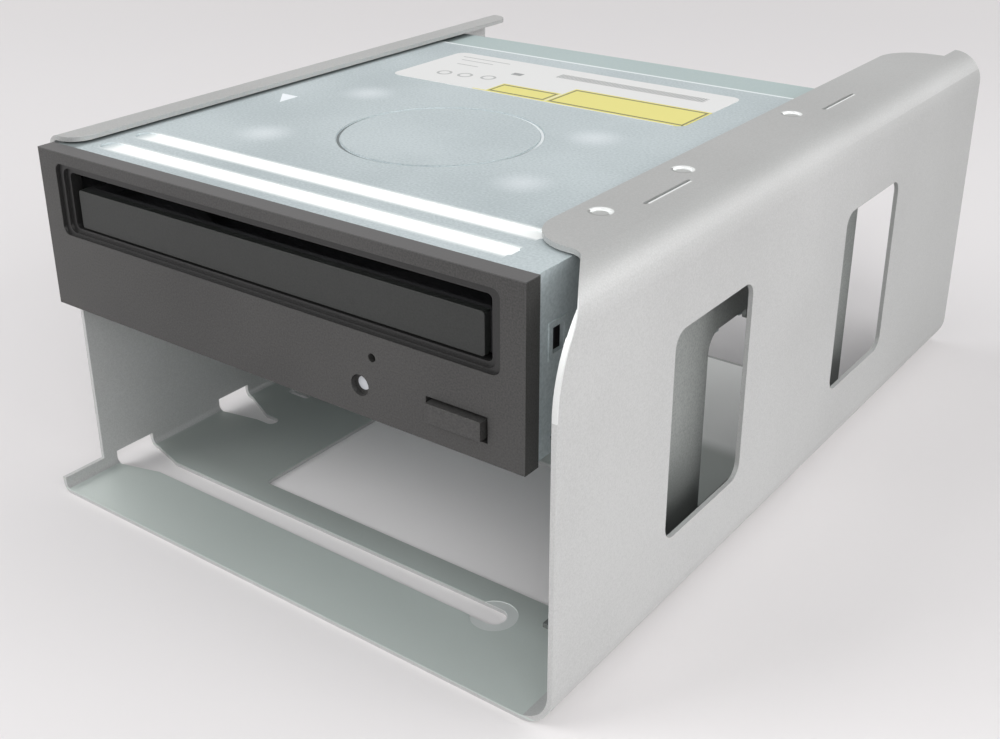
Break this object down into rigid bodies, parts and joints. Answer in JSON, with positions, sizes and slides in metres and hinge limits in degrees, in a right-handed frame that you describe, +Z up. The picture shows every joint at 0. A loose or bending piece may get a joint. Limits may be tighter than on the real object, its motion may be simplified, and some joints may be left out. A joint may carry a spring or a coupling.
{
  "type": "dvd writer",
  "caption": "Half-height tray-loading optical drive with a charcoal front, screwed into the upper bay of a folded aluminium two-bay drive carrier.",
  "frame": {"origin": "middle of the outline's underside, where the carrier stands", "axes": "+Z up, +Y from the bezel to the rear, +X to the right seen from the front"},
  "size_m": [0.162, 0.236, 0.099],
  "materials": {
    "carrier": "bead-blasted, satin",
    "bracket": "dark satin sheet",
    "fasteners": "bright zinc plate",
    "cover": "galvanised sheet, satin",
    "label": "printed label, satin",
    "front_plastic": "fine texture, matte",
    "lamp": "pale translucent plastic",
    "black_plastic": "moulded, matte",
    "nylon": "natural moulding, satin",
    "rubber": "matte",
    "steel": "ground steel",
    "copper": "enamelled copper wire",
    "board": "green solder mask",
    "magnet": "nickel plate",
    "glass": "coated lens"
  },
  "bodies": {
    "housing": {"carrier": "carrier", "side_bracket": "bracket", "bracket_rivets": "fasteners", "carrier_screws": "fasteners", "top_cover": "cover", "bottom_cover": "cover", "case_screws": "fasteners", "label": "label", "bezel": "front_plastic", "led_lens": "lamp", "chassis": "black_plastic", "front_board": "board", "eject_switch": "black_plastic", "tray_switch": "black_plastic", "led": "lamp", "load_motor": "steel", "load_belt": "rubber", "clamp_bracket": "cover", "main_board": "board", "board_chips": "black_plastic", "board_screws": "fasteners", "rear_connector": "black_plastic"},
    "tray": {"tray": "black_plastic", "tray_front": "front_plastic", "disc_pads": "rubber"},
    "eject_button": {"eject_button": "front_plastic", "switch_plunger": "nylon"},
    "drive_gear": {"drive_gear": "nylon"},
    "idler_gear": {"idler_gear": "nylon"},
    "pulley_gear": {"pulley_gear": "nylon"},
    "motor_pulley": {"motor_pulley": "nylon"},
    "cam_slider": {"cam_slider": "nylon"},
    "traverse": {"lift_frame": "black_plastic", "dampers": "rubber", "damper_screws": "fasteners", "traverse_plate": "steel", "spindle_base": "steel", "spindle_stator": "copper", "guide_rods": "steel", "sled_motor": "steel"},
    "rotor": {"spindle_rotor": "steel", "turntable_pad": "rubber", "hub_cone": "nylon"},
    "sled": {"pickup_body": "steel", "feed_nut": "nylon", "actuator_magnets": "magnet"},
    "lens": {"lens_holder": "black_plastic", "lens": "glass"},
    "lead_screw": {"lead_screw": "steel"},
    "clamper": {"clamper": "nylon", "clamp_magnet": "magnet"}
  },
  "joints": [
    {"name": "tray_slide", "type": "slide", "parent": "housing", "child": "tray", "axis": [0, -1, 0], "range_m": [0, 0.138]},
    {"name": "drive_gear_turn", "type": "hinge", "parent": "housing", "child": "drive_gear", "pos_m": [0.041, -0.0913, 0.074], "axis": [0, 0, 1], "range_deg": [-885, 5]},
    {"name": "idler_gear_turn", "type": "hinge", "parent": "housing", "child": "idler_gear", "pos_m": [0.02402, -0.09219, 0.071], "axis": [0, 0, 1], "range_deg": [-5, 2120]},
    {"name": "pulley_turn", "type": "hinge", "parent": "housing", "child": "pulley_gear", "pos_m": [0.00803, -0.09163, 0.076], "axis": [0, 0, 1], "range_deg": [-4660, 5]},
    {"name": "motor_turn", "type": "hinge", "parent": "housing", "child": "motor_pulley", "pos_m": [-0.024, -0.0941, 0.076], "axis": [0, 0, 1], "range_deg": [-15700, 5]},
    {"name": "eject_press", "type": "slide", "parent": "housing", "child": "eject_button", "axis": [0, 1, 0], "range_m": [0, 0.0008], "stiffness_N_per_m": 500, "springref_m": -0.0004},
    {"name": "traverse_tilt", "type": "hinge", "parent": "housing", "child": "traverse", "pos_m": [-0.004, 0.0355, 0.069], "axis": [1, 0, 0], "range_deg": [0, 4]},
    {"name": "cam_shift", "type": "slide", "parent": "housing", "child": "cam_slider", "axis": [1, 0, 0], "range_m": [0, 0.0241]},
    {"name": "disc_spin", "type": "hinge", "parent": "traverse", "child": "rotor", "pos_m": [-0.004, -0.0455, 0.082], "axis": [0, 0, 1], "continuous": true},
    {"name": "clamper_spin", "type": "hinge", "parent": "housing", "child": "clamper", "pos_m": [-0.004, -0.0455, 0.089], "axis": [0, 0, 1], "continuous": true},
    {"name": "sled_feed", "type": "slide", "parent": "traverse", "child": "sled", "axis": [0, 1, 0], "range_m": [0, 0.034]},
    {"name": "screw_turn", "type": "hinge", "parent": "traverse", "child": "lead_screw", "pos_m": [0.0305, -0.0125, 0.076], "axis": [0, 1, 0], "range_deg": [-5, 4095]},
    {"name": "lens_focus", "type": "slide", "parent": "sled", "child": "lens", "axis": [0, 0, 1], "range_m": [0, 0.0008], "stiffness_N_per_m": 10}
  ],
  "couplings": [
    {"joint": "drive_gear_turn", "follows": "tray_slide", "rad_per_m": -111.11},
    {"joint": "idler_gear_turn", "follows": "tray_slide", "rad_per_m": 266.67},
    {"joint": "pulley_turn", "follows": "tray_slide", "rad_per_m": -586.67},
    {"joint": "motor_turn", "follows": "tray_slide", "rad_per_m": -1973.3},
    {"joint": "cam_shift", "follows": "traverse_tilt", "m_per_rad": 0.34377},
    {"joint": "clamper_spin", "follows": "disc_spin", "ratio": 1},
    {"joint": "screw_turn", "follows": "sled_feed", "rad_per_m": 2094.4}
  ]
}
